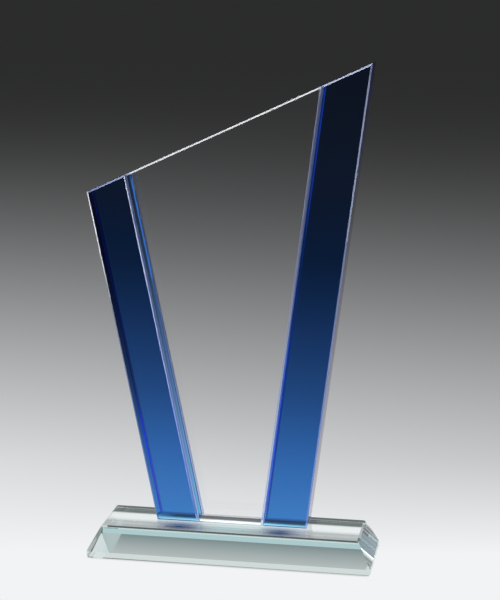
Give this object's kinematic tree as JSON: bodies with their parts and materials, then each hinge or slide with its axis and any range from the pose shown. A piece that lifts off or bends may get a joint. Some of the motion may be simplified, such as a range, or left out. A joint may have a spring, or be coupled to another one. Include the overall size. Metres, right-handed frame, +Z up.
{
  "type": "column trophy",
  "caption": "Glass award: a clear sloping-top panel between two outward-leaning blue glass columns, on a long bevelled clear glass base.",
  "frame": {"origin": "centre of the base's underside, on the surface that the trophy stands on", "axes": "+Z up; +X to the right as seen from the front, along the base's length, towards the tall column; the front faces -Y"},
  "size_m": [0.1528, 0.046, 0.26],
  "materials": {
    "base_glass": "polished, with a faint green tint",
    "clear_glass": "polished optical",
    "blue_glass": "polished, tinted blue all through",
    "clear_adhesive": "clear, cured"
  },
  "bodies": {
    "root": {"base_block": "base_glass", "centre_panel": "clear_glass", "left_column": "blue_glass", "right_column": "blue_glass", "left_joint_bond": "clear_adhesive", "right_joint_bond": "clear_adhesive", "left_foot_bond": "clear_adhesive", "panel_foot_bond": "clear_adhesive", "right_foot_bond": "clear_adhesive"}
  },
  "joints": []
}
